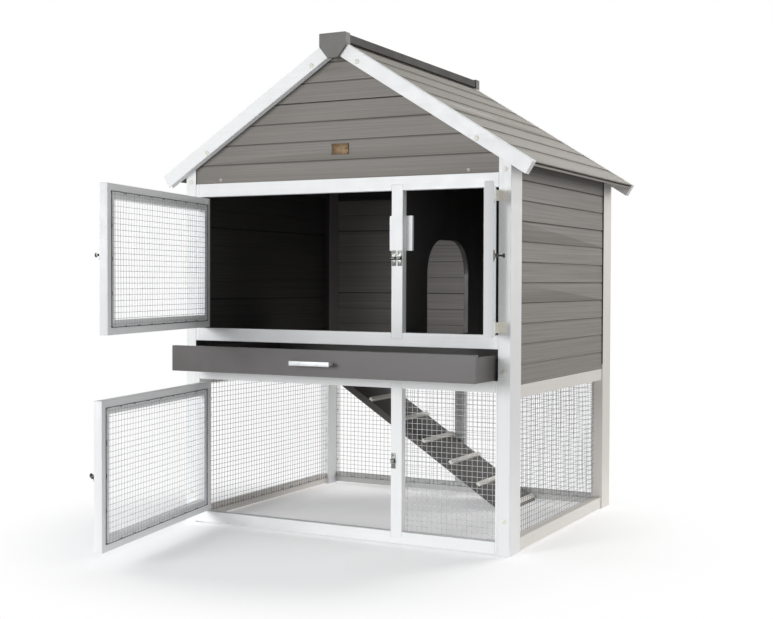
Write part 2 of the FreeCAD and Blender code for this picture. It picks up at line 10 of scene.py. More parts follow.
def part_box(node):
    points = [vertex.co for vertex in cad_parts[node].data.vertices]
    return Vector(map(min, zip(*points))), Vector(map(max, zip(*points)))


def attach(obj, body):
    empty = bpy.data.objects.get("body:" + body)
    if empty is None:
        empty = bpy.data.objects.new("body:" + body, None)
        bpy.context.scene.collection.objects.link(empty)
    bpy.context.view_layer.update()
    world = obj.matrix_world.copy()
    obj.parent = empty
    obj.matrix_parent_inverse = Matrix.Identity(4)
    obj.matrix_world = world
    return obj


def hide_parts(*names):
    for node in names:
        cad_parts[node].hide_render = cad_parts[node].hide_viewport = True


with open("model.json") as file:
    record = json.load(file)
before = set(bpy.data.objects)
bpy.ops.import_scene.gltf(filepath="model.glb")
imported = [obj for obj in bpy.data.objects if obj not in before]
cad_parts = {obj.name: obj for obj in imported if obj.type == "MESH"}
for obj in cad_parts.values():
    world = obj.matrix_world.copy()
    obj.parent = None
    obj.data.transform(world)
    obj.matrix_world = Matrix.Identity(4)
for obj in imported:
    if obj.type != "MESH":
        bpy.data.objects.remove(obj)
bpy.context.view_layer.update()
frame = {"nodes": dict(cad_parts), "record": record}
MM = 0.001
RNG = random.Random(11)
NODES = frame["nodes"]
JOINTS = {j["name"]: j for j in frame["record"]["behaviour"]["joints"]}
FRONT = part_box("front_left_post")[0].y            # plane of the front frame
MIDDLE_Y = (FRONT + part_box("rear_left_post")[1].y) / 2
FLOOR_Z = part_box("rear_floor")[0].z               # underside of the upper storey's floor

DOORS = {
    "upper_left_door": "upper_left_door_hinge",
    "upper_right_door": "upper_right_door_hinge",
    "lower_door": "lower_door_hinge",
}
PITCH = 12.7 * MM                                 # welded mesh
WIRE_R = 0.52 * MM
LAP = 47 * MM                                     # one course of the wall siding
ROOF_LAP = 81 * MM                                # one course of the roof
ROOF_T = 12 * MM                                  # thickness of the roof boards
LEAF_T = 1.2 * MM                                 # hinge leaves and the bolt keepers' plates
BOLT_PLATE_T = 1.3 * MM
ROD_Y = FRONT - 5.1 * MM                          # middle of the bolts' rods, doors closed
GABLE_SCREW_Z = 872 * MM                          # the two screws at the gable's foot
GABLE_SCREW_REACH = 360 * MM                      # they sit within this of the middle
LEAF_SCREW_IN = 5.5 * MM                          # screws from a hinge leaf's top and foot


# ------------------------------------------------------------------ node trees
def add_node(tree, kind, sockets=None, **settings):
    item = tree.nodes.new("ShaderNode" + kind)
    for key, value in settings.items():
        setattr(item, key, value)
    for key, value in (sockets or {}).items():
        socket = item.inputs[key]
        if isinstance(value, bpy.types.NodeSocket):
            tree.links.new(value, socket)
        else:
            socket.default_value = value
    return item


def math_node(tree, operation, a, b=0.0, c=0.0):
    return add_node(tree, "Math", {0: a, 1: b, 2: c}, operation=operation).outputs[0]


def ramp(tree, value, low, high, out_low=0.0, out_high=1.0, smooth=True):
    """value from low..high is mapped to out_low..out_high and held there."""
    kind = "SMOOTHSTEP" if smooth else "LINEAR"
    sockets = {"Value": value, "From Min": low, "From Max": high,
               "To Min": out_low, "To Max": out_high}
    return add_node(tree, "MapRange", sockets, interpolation_type=kind).outputs[0]


def object_coords(tree):
    return add_node(tree, "TexCoord").outputs["Object"]


def stretched_noise(tree, coords, scale, offset=0.0, detail=5.0, roughness=0.6):
    """scale is how many features there are to the metre along X, Y and Z."""
    place = add_node(tree, "Mapping", {"Vector": coords, "Scale": scale,
                                       "Location": (offset, offset * 1.7, offset * 0.6)})
    sockets = {"Vector": place.outputs[0], "Scale": 1.0, "Detail": detail, "Roughness": roughness}
    return add_node(tree, "TexNoise", sockets).outputs["Fac"]


def tinted(tree, colour, factor):
    """A colour times a grey factor."""
    grey = add_node(tree, "CombineColor", {0: factor, 1: factor, 2: factor}).outputs[0]
    mix = add_node(tree, "Mix", {"Factor": 1.0}, data_type="RGBA", blend_type="MULTIPLY")
    for index, value in ((6, colour), (7, grey)):
        if isinstance(value, bpy.types.NodeSocket):
            tree.links.new(value, mix.inputs[index])
        else:
            mix.inputs[index].default_value = value
    return mix.outputs[2]


def mixed(tree, factor, a, b):
    mix = add_node(tree, "Mix", {"Factor": factor}, data_type="RGBA")
    for index, value in ((6, a), (7, b)):
        if isinstance(value, bpy.types.NodeSocket):
            tree.links.new(value, mix.inputs[index])
        else:
            mix.inputs[index].default_value = value
    return mix.outputs[2]


def srgb(red, green, blue):
    """A colour given as 0..255 display values."""
    def linear(v):
        v /= 255
        return v / 12.92 if v <= 0.04045 else ((v + 0.055) / 1.055) ** 2.4
    return (linear(red), linear(green), linear(blue), 1.0)


def new_material(name, **constants):
    material = bpy.data.materials.new(name)
    material.use_nodes = True
    tree = material.node_tree
    tree.nodes.clear()
    shader = tree.nodes.new("ShaderNodeBsdfPrincipled")
    output = tree.nodes.new("ShaderNodeOutputMaterial")
    tree.links.new(shader.outputs[0], output.inputs[0])
    for key, value in constants.items():
        shader.inputs[key.replace("_", " ")].default_value = value
    return material, tree, shader


def finish_surface(tree, shader, colour, roughness, height, distance, strength=1.0):
    tree.links.new(colour, shader.inputs["Base Color"])
    tree.links.new(roughness, shader.inputs["Roughness"])
    bump = add_node(tree, "Bump", {"Height": height, "Distance": distance, "Strength": strength})
    tree.links.new(bump.outputs[0], shader.inputs["Normal"])


def along_scale(axis, along, across):
    scale = [across, across, across]
    scale[axis] = along
    return tuple(scale)


# ------------------------------------------------------------------ materials
def inner_faces(tree, above, directions):
    """1 on surfaces that face one of the directions and lie above a height: the inner faces that get painted
    shade.
    """
    normal = add_node(tree, "NewGeometry").outputs["Normal"]
    total = None
    for direction in directions:
        along = add_node(tree, "VectorMath", {0: normal, 1: direction},
                         operation="DOT_PRODUCT").outputs["Value"]
        total = along if total is None else math_node(tree, "MAXIMUM", total, along)
    height = add_node(tree, "SeparateXYZ", {0: object_coords(tree)}).outputs["Z"]
    over = ramp(tree, height, above - 2 * MM, above + 2 * MM)
    return math_node(tree, "MULTIPLY", ramp(tree, total, 0.55, 0.75), over)


def board_material(name, colour, axis, depth=0.014, shine=(0.36, 0.5), offset=0.0, inside=()):
    """Painted board with a soft grain along one axis, faint mottling and small scuffs.

    Each entry of inside is (height, directions, colour) of inner surfaces that get a painted shade colour
    instead of the board's own.
    """
    material, tree, shader = new_material(name)
    coords = object_coords(tree)
    grain = stretched_noise(tree, coords, along_scale(axis, 2.2, 260), offset, 6, 0.62)
    broad = stretched_noise(tree, coords, along_scale(axis, 1.2, 30), offset + 3, 3, 0.5)
    mottle = stretched_noise(tree, coords, (34, 34, 34), offset + 9, 4, 0.65)
    scuff = stretched_noise(tree, coords, (85, 85, 85), offset + 21, 2, 0.5)
    value = math_node(tree, "ADD", ramp(tree, grain, 0.3, 0.7, 1 - depth, 1 + depth),
                      ramp(tree, broad, 0.3, 0.7, -depth * 0.6, depth * 0.6))
    value = math_node(tree, "ADD", value, ramp(tree, mottle, 0.35, 0.7, depth * 0.3, -depth * 0.5))
    value = math_node(tree, "SUBTRACT", value, ramp(tree, scuff, 0.68, 0.8, 0.0, depth * 1.4))
    rough = math_node(tree, "ADD", ramp(tree, mottle, 0.3, 0.75, shine[0], shine[1]),
                      ramp(tree, grain, 0.3, 0.7, 0.05, -0.03))
    relief = math_node(tree, "ADD", grain, math_node(tree, "MULTIPLY", broad, 0.7))
    shown = tinted(tree, colour, value)
    # Painted shade: inner faces above the floor take the interior's shade colour.
    for height, directions, inner in inside:
        dark = tinted(tree, inner, ramp(tree, grain, 0.3, 0.7, 0.85, 1.15))
        shown = mixed(tree, inner_faces(tree, height, directions), shown, dark)
    finish_surface(tree, shader, shown, rough, relief, 0.0001)
    return material


def lap_material(name, colour, inner, axis, base, lap, courses, inward, slope=None, offset=0.0):
    """Lapped, embossed boards. A course starts every lap metres above base, and a board has
    several courses.

    inward points into the hutch; surfaces facing that way have the inner colour, which is painted shade.
    slope gives the direction up the roof, for boards that don't stand upright.
    """
    material, tree, shader = new_material(name)
    coords = object_coords(tree)
    if slope:
        up = add_node(tree, "VectorMath", {0: coords, 1: slope}, operation="DOT_PRODUCT").outputs["Value"]
    else:
        up = add_node(tree, "SeparateXYZ", {0: coords}).outputs["Z"]
    course = math_node(tree, "DIVIDE", math_node(tree, "SUBTRACT", up, base), lap)
    board = math_node(tree, "FLOOR", math_node(tree, "DIVIDE", course, float(courses)))
    part = math_node(tree, "FRACT", course)
    board_part = math_node(tree, "FRACT", math_node(tree, "DIVIDE", course, float(courses)))
    tint = add_node(tree, "TexWhiteNoise", {"W": math_node(tree, "ADD", board, offset + 0.37)},
                    noise_dimensions="1D").outputs["Value"]
    spread = add_node(tree, "CombineXYZ", {0: math_node(tree, "MULTIPLY", tint, 3.0),
                                           1: math_node(tree, "MULTIPLY", tint, 5.0), 2: 0.0})
    placed = add_node(tree, "VectorMath", {0: coords, 1: spread.outputs[0]}, operation="ADD").outputs[0]
    grain = stretched_noise(tree, placed, along_scale(axis, 1.7, 340), offset, 6, 0.6)
    fine = stretched_noise(tree, placed, along_scale(axis, 7, 950), offset + 5, 3, 0.6)
    broad = stretched_noise(tree, placed, along_scale(axis, 0.9, 70), offset + 13, 2, 0.5)
    value = ramp(tree, grain, 0.3, 0.7, 0.90, 1.08)
    value = math_node(tree, "ADD", value, ramp(tree, fine, 0.3, 0.7, -0.045, 0.045))
    value = math_node(tree, "ADD", value, ramp(tree, broad, 0.3, 0.7, -0.035, 0.035))
    value = math_node(tree, "ADD", value, ramp(tree, tint, 0.0, 1.0, -0.03, 0.03))
    # Each course is lighter at its foot: a rubbed lip edge and a painted highlight where the lip catches the
    # light.
    lip_rub_and_highlight = ramp(tree, part, 0.0, 0.05, 0.06, 0.0)
    # Painted shade: each course darkens at its top, under the next course's lip.
    shade_under_lip = ramp(tree, part, 0.86, 0.98, 0.0, 0.34)
    value = math_node(tree, "SUBTRACT", math_node(tree, "ADD", value, lip_rub_and_highlight), shade_under_lip)
    joint = ramp(tree, board_part, 1 - 0.06 / courses, 1 - 0.02 / courses, 0.0, 0.35)
    value = math_node(tree, "SUBTRACT", value, joint)
    normal = add_node(tree, "NewGeometry").outputs["Normal"]
    facing = add_node(tree, "VectorMath", {0: normal, 1: inward}, operation="DOT_PRODUCT").outputs["Value"]
    inside = ramp(tree, facing, 0.55, 0.75)
    # The inner faces are flat: their seams are drawn dark, painted shade in each course's groove and darker
    # board joints.
    groove = ramp(tree, math_node(tree, "PINGPONG", part, 0.5), 0.0, 0.035, 1.0, 0.0)
    deep = ramp(tree, math_node(tree, "PINGPONG", board_part, 0.5), 0.0, 0.014, 1.0, 0.0)
    dark = math_node(tree, "MAXIMUM", math_node(tree, "MULTIPLY", groove, 0.55), deep)
    inner_value = math_node(tree, "MULTIPLY", ramp(tree, grain, 0.3, 0.7, 0.85, 1.15),
                            math_node(tree, "SUBTRACT", 1.0, math_node(tree, "MULTIPLY", dark, 0.75)))
    colour_out = mixed(tree, inside, tinted(tree, colour, value), tinted(tree, inner, inner_value))
    rough = math_node(tree, "ADD", ramp(tree, grain, 0.3, 0.7, 0.53, 0.42),
                      ramp(tree, broad, 0.3, 0.7, -0.03, 0.05))
    inner_groove = math_node(tree, "MULTIPLY", dark, inside)
    height = math_node(tree, "ADD", grain, math_node(tree, "MULTIPLY", fine, 0.35))
    height = math_node(tree, "SUBTRACT", height, math_node(tree, "MULTIPLY", inner_groove, 4.0))
    finish_surface(tree, shader, colour_out, rough, height, 0.0003)
    shader.inputs["Specular IOR Level"].default_value = 0.22
    return material


def plain_material(name, colour, depth=0.06, shine=(0.38, 0.52), grain_axis=None, bump=0.00012):
    """Smooth moulded or laminated surface with soft mottling and fine speckle."""
    material, tree, shader = new_material(name)
    coords = object_coords(tree)
    mottle = stretched_noise(tree, coords, (22, 22, 22), 2, 5, 0.6)
    speck = stretched_noise(tree, coords, (420, 420, 420), 5, 2, 0.5)
    value = math_node(tree, "ADD", ramp(tree, mottle, 0.3, 0.7, 1 - depth, 1 + depth * 0.6),
                      ramp(tree, speck, 0.35, 0.7, -depth * 0.4, depth * 0.4))
    height = speck
    if grain_axis is not None:
        grain = stretched_noise(tree, coords, along_scale(grain_axis, 4, 300), 7, 6, 0.62)
        value = math_node(tree, "ADD", value, ramp(tree, grain, 0.3, 0.7, -depth, depth))
        height = math_node(tree, "ADD", grain, math_node(tree, "MULTIPLY", speck, 0.3))
    rough = ramp(tree, mottle, 0.3, 0.7, shine[0], shine[1])
    finish_surface(tree, shader, tinted(tree, colour, value), rough, height, bump)
    return material


def metal_material(name, colour, shine, spangle, tarnish, axis=None, metallic=1.0):
    """Plated metal with cloudy patches, fine scratches and dulled spots."""
    material, tree, shader = new_material(name, Metallic=metallic)
    coords = object_coords(tree)
    cells = add_node(tree, "TexVoronoi", {"Vector": coords, "Scale": spangle}).outputs["Color"]
    level = add_node(tree, "SeparateColor", {0: cells}).outputs[0]
    cloud = stretched_noise(tree, coords, (60, 60, 60), 4, 4, 0.6)
    scale = (700, 700, 700) if axis is None else along_scale(axis, 30, 1500)
    scratch = stretched_noise(tree, coords, scale, 8, 3, 0.6)
    value = math_node(tree, "ADD", ramp(tree, level, 0.0, 1.0, 0.94, 1.05),
                      ramp(tree, cloud, 0.45, 0.75, 0.0, -tarnish))
    value = math_node(tree, "ADD", value, ramp(tree, scratch, 0.3, 0.7, -0.05, 0.05))
    rough = math_node(tree, "ADD", ramp(tree, cloud, 0.3, 0.75, shine[0], shine[1]),
                      ramp(tree, scratch, 0.3, 0.7, -0.04, 0.06))
    finish_surface(tree, shader, tinted(tree, colour, value), rough, scratch, 0.00005)
    return material


WHITE = srgb(237, 238, 238)
DOOR_WHITE = srgb(227, 228, 229)
SIDING = srgb(134, 130, 125)
# Painted light: the roof boards in a lighter copy of the siding grey, as the roof faces the light from
# above.
LIT_ROOF = srgb(159, 155, 149)
# Painted shade: the grey inside the storey is drawn dark, as the inside stands in shade.
INTERIOR_SHADE = srgb(74, 72, 71)
# Painted light: a lighter copy of that grey for the rear wall's inside, which faces the light.
REAR_INTERIOR_LIT = srgb(152, 147, 145)
# Painted shade: a darker, warmer copy of the white for the side rails and the rear right post, which get
# less light than the front.
WARM_SHADED_WHITE = srgb(221, 217, 212)
white_x = board_material("white_board_x", WHITE, 0)
white_z = board_material("white_board_z", WHITE, 2, offset=8)
# The posts are white; inside the storey their faces get painted shade, and the rear left post's face along
# the rear wall gets the lit copy.
rear_left_z = board_material("rear_left_post_white_and_shade", WHITE, 2, offset=8,
                             inside=[(FLOOR_Z, [(0, -1, 0)], INTERIOR_SHADE), (FLOOR_Z, [(1, 0, 0)], REAR_INTERIOR_LIT)])
rear_right_z = board_material("rear_right_post_shaded_white", WARM_SHADED_WHITE, 2, offset=9,
                              inside=[(FLOOR_Z, [(0, -1, 0), (-1, 0, 0)], INTERIOR_SHADE)])
side_y = board_material("side_rail_shaded_white", WARM_SHADED_WHITE, 1, offset=13)
# Painted shade: the rear frame's white drawn greyer, as it stands in shade.
rear_shaded_x = board_material("rear_frame_shaded_grey", srgb(200, 200, 198), 0, offset=14)
front_left_z = board_material("front_left_post_white_and_shade", WHITE, 2, offset=10,
                              inside=[(FLOOR_Z, [(0, 1, 0), (1, 0, 0)], INTERIOR_SHADE)])
# Painted shade: a touch darker than the white, for the post behind the open right door; its inside face gets
# the interior's shade colour.
front_right_z = board_material("front_right_post_shaded_white", srgb(230, 231, 231), 2, offset=11,
                               inside=[(FLOOR_Z, [(0, 1, 0)], INTERIOR_SHADE)])
door_x = board_material("door_board_x", DOOR_WHITE, 0, offset=15)
door_z = board_material("door_board_z", DOOR_WHITE, 2, offset=19)
# Painted shade: the boards inside the storey in the interior's dark grey.
shaded_inner_x = plain_material("inner_board_shade_x", INTERIOR_SHADE, 0.08, grain_axis=0)
ramp_board = plain_material("ramp_board_grain", srgb(78, 74, 71), 0.09, grain_axis=0)
cleat_wood = board_material("cleat_board_y", srgb(232, 229, 223), 1, 0.06, (0.45, 0.6))
hinge_cream = plain_material("hinge_coating", srgb(243, 240, 231), 0.06, (0.25, 0.38))
disc_gray = plain_material("gable_screw_paint", srgb(168, 166, 161), 0.06, (0.3, 0.42))
drawer_gray = plain_material("drawer_laminate", srgb(95, 92, 91), 0.025, (0.33, 0.42), 0, 0.00006)
tray_gray = plain_material("tray_laminate", srgb(92, 90, 88), 0.05, (0.4, 0.5), 1)
ridge_gray = plain_material("ridge_moulding", srgb(97, 95, 91), 0.035, (0.4, 0.5), 1)
# Painted shade: the ridge cap is the end caps' moulding drawn darker for its shaded sides.
cap_shaded_gray = plain_material("ridge_cap_shaded_moulding", srgb(54, 52, 50), 0.035, (0.6, 0.7), 1)
insert_cream = plain_material("slot_insert", srgb(222, 214, 190), 0.06, (0.4, 0.5))
galvanised = metal_material("galvanised_wire", srgb(206, 208, 210), (0.42, 0.58), 220.0, 0.10, metallic=0.35)
shaded_wire = metal_material("shaded_wire", srgb(142, 144, 146), (0.42, 0.58), 220.0, 0.10, metallic=0.35)
# Painted shade: the bolt rods and knobs drawn dark for the shadow round the knob's neck.
rod_shade_steel = metal_material("bolt_rod_shade_steel", srgb(92, 91, 88), (0.22, 0.36), 140.0, 0.3)
zinc = metal_material("zinc_plate", srgb(138, 138, 135), (0.30, 0.46), 140.0, 0.3)
# Dark steel for the staples; the door mesh's edge wire uses it too, as painted shadow along the sheet's
# edge.
staple_and_edge_shade_metal = metal_material("staple_wire_and_edge_shade", srgb(104, 103, 101), (0.3, 0.45), 200.0, 0.2)
silver = metal_material("handle_silver", srgb(214, 216, 218), (0.42, 0.52), 60.0, 0.05, 0, metallic=0.55)
plate_brass = metal_material("plate_brass", srgb(104, 84, 60), (0.4, 0.55), 60.0, 0.3, 0, metallic=0.6)
cap_paint = plain_material("screw_paint", srgb(230, 226, 215), 0.06, (0.3, 0.42))


def solids(node, matrix=None):
    """The boxes (lowest, highest corner) of a CAD node's solids, after matrix.

    Solids that share corners count as one.
    """
    shape = bmesh.new()
    shape.from_mesh(NODES[node].data)
    if matrix is not None:
        shape.transform(matrix)
    bmesh.ops.remove_doubles(shape, verts=shape.verts[:], dist=1e-6)
    seen = set()
    found = []
    for start in shape.verts:
        if start in seen:
            continue
        stack, group = [start], []
        seen.add(start)
        while stack:
            vert = stack.pop()
            group.append(vert.co.copy())
            for edge in vert.link_edges:
                other = edge.other_vert(vert)
                if other not in seen:
                    seen.add(other)
                    stack.append(other)
        low = Vector(min(c[i] for c in group) for i in range(3))
        high = Vector(max(c[i] for c in group) for i in range(3))
        found.append((low, high))
    shape.free()
    return sorted(found, key=lambda b: tuple(round(v, 5) for v in b[0]))


def opening_matrix(joint_name):
    """Takes a point of the closed door to where it is at rest."""
    joint = JOINTS[joint_name]
    pivot = Matrix.Translation(Vector(joint["pos_m"]))
    closed = joint["range_deg"][0]
    turn = Matrix.Rotation(math.radians(-closed), 4, Vector(joint["axis"]))
    return pivot @ turn @ pivot.inverted()


# ------------------------------------------------------------------ mesh helpers
def smooth_by_angle(mesh, degrees=35):
    mesh.shade_smooth()
    mesh.set_sharp_from_angle(angle=math.radians(degrees))


def make_piece(name, shape, material, body, matrix=None, replaces=(), smooth=35):
    """Turns a bmesh, drawn in its own frame, into a piece that rides on a body."""
    bmesh.ops.recalc_face_normals(shape, faces=shape.faces[:])
    mesh = bpy.data.meshes.new(name)
    shape.to_mesh(mesh)
    shape.free()
    materials = material if isinstance(material, (list, tuple)) else [material]
    for item in materials:
        mesh.materials.append(item)
    if smooth:
        smooth_by_angle(mesh, smooth)
    piece = bpy.data.objects.new(name, mesh)
    bpy.context.scene.collection.objects.link(piece)
    if matrix is not None:
        piece.matrix_world = matrix
    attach(piece, body)
    if replaces:
        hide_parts(*replaces)
    return piece


def add_box(shape, low, high, bevel=0.0, segments=2, material=0):
    low, high = Vector(low), Vector(high)
    made = bmesh.ops.create_cube(shape, size=1.0)["verts"]
    size, middle = high - low, (high + low) / 2
    for vert in made:
        vert.co = Vector(vert.co[i] * size[i] + middle[i] for i in range(3))
    edges = list({e for v in made for e in v.link_edges})
    faces = set(f for v in made for f in v.link_faces)
    if bevel:
        result = bmesh.ops.bevel(shape, geom=edges, offset=bevel, segments=segments,
                                 profile=0.5, affect="EDGES")
        faces = {f for f in faces if f.is_valid} | set(result["faces"])
    for face in faces:
        face.material_index = material
    return faces


def add_tube(shape, points, radius, sides=6, material=0, spin=0.0):
    """A closed tube of even section through the points."""
    points = [Vector(p) for p in points]
    first = (points[1] - points[0]).normalized()
    side = first.orthogonal().normalized()
    rings = []
    for index, point in enumerate(points):
        before = points[max(index - 1, 0)]
        after = points[min(index + 1, len(points) - 1)]
        along = (after - before).normalized()
        side = (side - along * side.dot(along)).normalized()
        other = along.cross(side)
        ring = []
        for step in range(sides):
            angle = spin + math.tau * step / sides
            ring.append(shape.verts.new(point + radius * (math.cos(angle) * side
                                                          + math.sin(angle) * other)))
        rings.append(ring)
    made = [shape.faces.new(list(reversed(rings[0]))), shape.faces.new(rings[-1])]
    for low, high in zip(rings, rings[1:]):
        for step in range(sides):
            after = (step + 1) % sides
            made.append(shape.faces.new((low[step], low[after], high[after], high[step])))
    for face in made:
        face.material_index = material


def add_lathe(shape, profile, matrix, sides=20, material=0):
    """profile is (radius, height) points up the Z axis, closed at both ends."""
    rings = []
    for radius, height in profile:
        ring = [shape.verts.new(matrix @ Vector((radius * math.cos(math.tau * s / sides),
                                                 radius * math.sin(math.tau * s / sides), height)))
                for s in range(sides)]
        rings.append(ring)
    made = [shape.faces.new(list(reversed(rings[0]))), shape.faces.new(rings[-1])]
    for low, high in zip(rings, rings[1:]):
        for step in range(sides):
            after = (step + 1) % sides
            made.append(shape.faces.new((low[step], low[after], high[after], high[step])))
    for face in made:
        face.material_index = material


def in_mm(points):
    return [(a * MM, b * MM) for a, b in points]


def add_prism(shape, outline, origin, u, v, depth, material=0):
    """A flat outline in directions u and v from origin, drawn out by the vector depth."""
    origin, u, v, depth = (Vector(item) for item in (origin, u, v, depth))
    low = [shape.verts.new(origin + a * u + b * v) for a, b in outline]
    high = [shape.verts.new(vert.co + depth) for vert in low]
    made = [shape.faces.new(list(reversed(low))), shape.faces.new(high)]
    count = len(low)
    for index in range(count):
        after = (index + 1) % count
        made.append(shape.faces.new((low[index], low[after], high[after], high[index])))
    for face in made:
        face.material_index = material
    return made


def facing(point, direction, turn=0.0):
    """Places a shape drawn up the Z axis at a point, looking in a direction."""
    aim = Vector(direction).to_track_quat("Z", "Y").to_matrix().to_4x4()
    return Matrix.Translation(Vector(point)) @ aim @ Matrix.Rotation(turn, 4, "Z")


def screw_template(name, radius, height, wing, reach, depth):
    """A raised screw head with a tapered cross recess, drawn up the Z axis."""
    head = bmesh.new()
    profile = [(radius, 0.0), (radius, height * 0.28)]
    for step in range(1, 7):
        angle = math.radians(90) * step / 7
        profile.append((radius * (0.16 + 0.84 * math.cos(angle)),
                        height * (0.28 + 0.72 * math.sin(angle))))
    profile.append((radius * 0.12, height))
    add_lathe(head, profile, Matrix.Identity(4), 24)
    bmesh.ops.recalc_face_normals(head, faces=head.faces[:])
    cutter = bmesh.new()
    plus = []
    for quarter in range(4):
        for a, b in ((reach, -wing), (reach, wing), (wing, wing)):
            c, s = math.cos(quarter * math.pi / 2), math.sin(quarter * math.pi / 2)
            plus.append((a * c - b * s, a * s + b * c))
    top = [cutter.verts.new((a, b, height * 1.5)) for a, b in plus]
    low = [cutter.verts.new((a * 0.45, b * 0.7, height - depth)) for a, b in plus]
    cutter.faces.new(top)
    cutter.faces.new(list(reversed(low)))
    for index in range(len(plus)):
        after = (index + 1) % len(plus)
        cutter.faces.new((low[index], low[after], top[after], top[index]))
    bmesh.ops.recalc_face_normals(cutter, faces=cutter.faces[:])
    made = []
    for label, item in (("head", head), ("cutter", cutter)):
        mesh = bpy.data.meshes.new(f"{name}_{label}")
        item.to_mesh(mesh)
        item.free()
        obj = bpy.data.objects.new(mesh.name, mesh)
        bpy.context.scene.collection.objects.link(obj)
        made.append(obj)
    cut = made[0].modifiers.new("cut", "BOOLEAN")
    cut.object = made[1]
    cut.operation = "DIFFERENCE"
    cut.solver = "EXACT"
    view = bpy.context.evaluated_depsgraph_get()
    result = bpy.data.meshes.new_from_object(made[0].evaluated_get(view))
    result.name = name
    for obj in made:
        bpy.data.objects.remove(obj)
    return result


def add_copy(shape, mesh, matrix, material=0):
    """Adds a transformed copy of a template mesh."""
    part = bmesh.new()
    part.from_mesh(mesh)
    part.transform(matrix)
    for face in part.faces:
        face.material_index = material
    moved = bpy.data.meshes.new("copy")
    part.to_mesh(moved)
    part.free()
    shape.from_mesh(moved)
    bpy.data.meshes.remove(moved)


# ------------------------------------------------------------------ wire mesh
def wire_panel(shape, low, high, normal, bulge):
    """Welded square mesh in place of a thin sheet: rows on one face, uprights on the other.

    normal is 0 or 1, the axis across the sheet. The middle of the panel wanders a little, by up
    to bulge, and its edge lies flat.
    """
    edge_band, segment, margin_sum = 45 * MM, 38 * MM, 3 * MM
    low, high = Vector(low), Vector(high)
    across = 1 - normal
    width, tall = high[across] - low[across], high[2] - low[2]
    seed = Vector((low.x * 7, low.y * 5, low.z * 3))

    def wander(a, b):
        edge = min(a, width - a, b, tall - b) / edge_band
        wave = noise.noise(seed + Vector((a * 6, b * 6, 0)))
        return bulge * wave * min(1.0, max(0.0, edge - 0.35))

    def point(a, b, layer):
        place = [0.0, 0.0, low[2] + b]
        place[across] = low[across] + a
        place[normal] = (low[normal] + high[normal]) / 2 + layer * WIRE_R * 0.72 + wander(a, b)
        return place

    def line(length, other, at, upright):
        steps = max(2, round(length / segment))
        start, end = RNG.uniform(0, 1.4) * MM, length - RNG.uniform(0, 1.4) * MM
        drift = RNG.uniform(-0.25, 0.25) * MM
        points = []
        for step in range(steps + 1):
            run = start + (end - start) * step / steps
            side = at + drift + 0.22 * MM * noise.noise(seed + Vector((at * 90, run * 9, 4 + upright)))
            side = min(max(side, WIRE_R), other - WIRE_R)
            points.append(point(side, run, -1) if upright else point(run, side, 1))
        add_tube(shape, points, WIRE_R, 6, spin=RNG.uniform(0, 1))

    for count, length, other, upright in (
            (math.floor((width - margin_sum) / PITCH), tall, width, True),
            (math.floor((tall - margin_sum) / PITCH), width, tall, False)):
        margin = (other - count * PITCH) / 2
        for index in range(count + 1):
            line(length, other, margin + index * PITCH, upright)


def staple(shape, place, out, along):
    """One staple: a flat-topped wire with both legs going into the board."""
    place, out, along = Vector(place), Vector(out), Vector(along).normalized()
    along = Matrix.Rotation(RNG.uniform(-0.22, 0.22), 3, out) @ along
    half, top, foot = 4.6 * MM, 1.35 * MM, -0.2 * MM
    points = [place - along * half + out * foot, place - along * half + out * top * 0.75,
              place - along * (half - 0.7 * MM) + out * top, place + along * (half - 0.7 * MM) + out * top,
              place + along * half + out * top * 0.75, place + along * half + out * foot]
    add_tube(shape, points, 0.55 * MM, 5, material=1)


def staple_rows(shape, low, high, normal, face, sign, inset, pitch):
    """Staples round a sheet's edge, face being the board's surface that they stand on."""
    low, high = Vector(low), Vector(high)
    across = 1 - normal
    out = Vector((0, 0, 0))
    out[normal] = sign
    flat = Vector((0, 0, 0))
    flat[across] = 1
    upright = Vector((0, 0, 1))

    def put(a, b, along):
        place = [0.0, 0.0, b]
        place[across] = a
        place[normal] = face
        staple(shape, place, out, along)

    a0, a1 = low[across] + inset, high[across] - inset
    b0, b1 = low[2] + inset, high[2] - inset
    for index in range(round((a1 - a0) / pitch) + 1):
        a = a0 + (a1 - a0) * index / round((a1 - a0) / pitch) + RNG.uniform(-2, 2) * MM
        for b in (b0, b1):
            put(a, b + RNG.uniform(-0.8, 0.8) * MM, flat)
    for index in range(1, round((b1 - b0) / pitch)):
        b = b0 + (b1 - b0) * index / round((b1 - b0) / pitch) + RNG.uniform(-2, 2) * MM
        for a in (a0, a1):
            put(a + RNG.uniform(-0.8, 0.8) * MM, b, upright)


# ------------------------------------------------------------------ camera and studio
def set_camera():
    data = bpy.data.cameras.new("camera")
    data.lens = 57.504
    data.sensor_width = 36.0
    data.clip_end = 60.0
    yaw, pitch, roll = (math.radians(v) for v in (27.4443, 1.2984, 0.2013))
    forward = Vector((-math.sin(yaw) * math.cos(pitch), math.cos(yaw) * math.cos(pitch), -math.sin(pitch)))
    level = Vector((math.cos(yaw), math.sin(yaw), 0))
    upright = level.cross(forward)
    right = math.cos(roll) * level + math.sin(roll) * upright
    up = -math.sin(roll) * level + math.cos(roll) * upright
    camera = bpy.data.objects.new("camera", data)
    matrix = Matrix((right, up, -forward)).transposed().to_4x4()
    matrix.translation = Vector((1.468769, -2.692983, 0.617562))
    camera.matrix_world = matrix
    bpy.context.scene.collection.objects.link(camera)
    bpy.context.scene.camera = camera


def area_light(name, place, target, size, power, colour=(1, 1, 1)):
    data = bpy.data.lights.new(name, "AREA")
    data.shape = "RECTANGLE"
    data.size, data.size_y = size
    data.energy = power
    data.color = colour
    light = bpy.data.objects.new(name, data)
    light.visible_camera = False
    light.location = place
    look = Vector(target) - Vector(place)
    light.rotation_euler = look.to_track_quat("-Z", "Y").to_euler()
    bpy.context.scene.collection.objects.link(light)


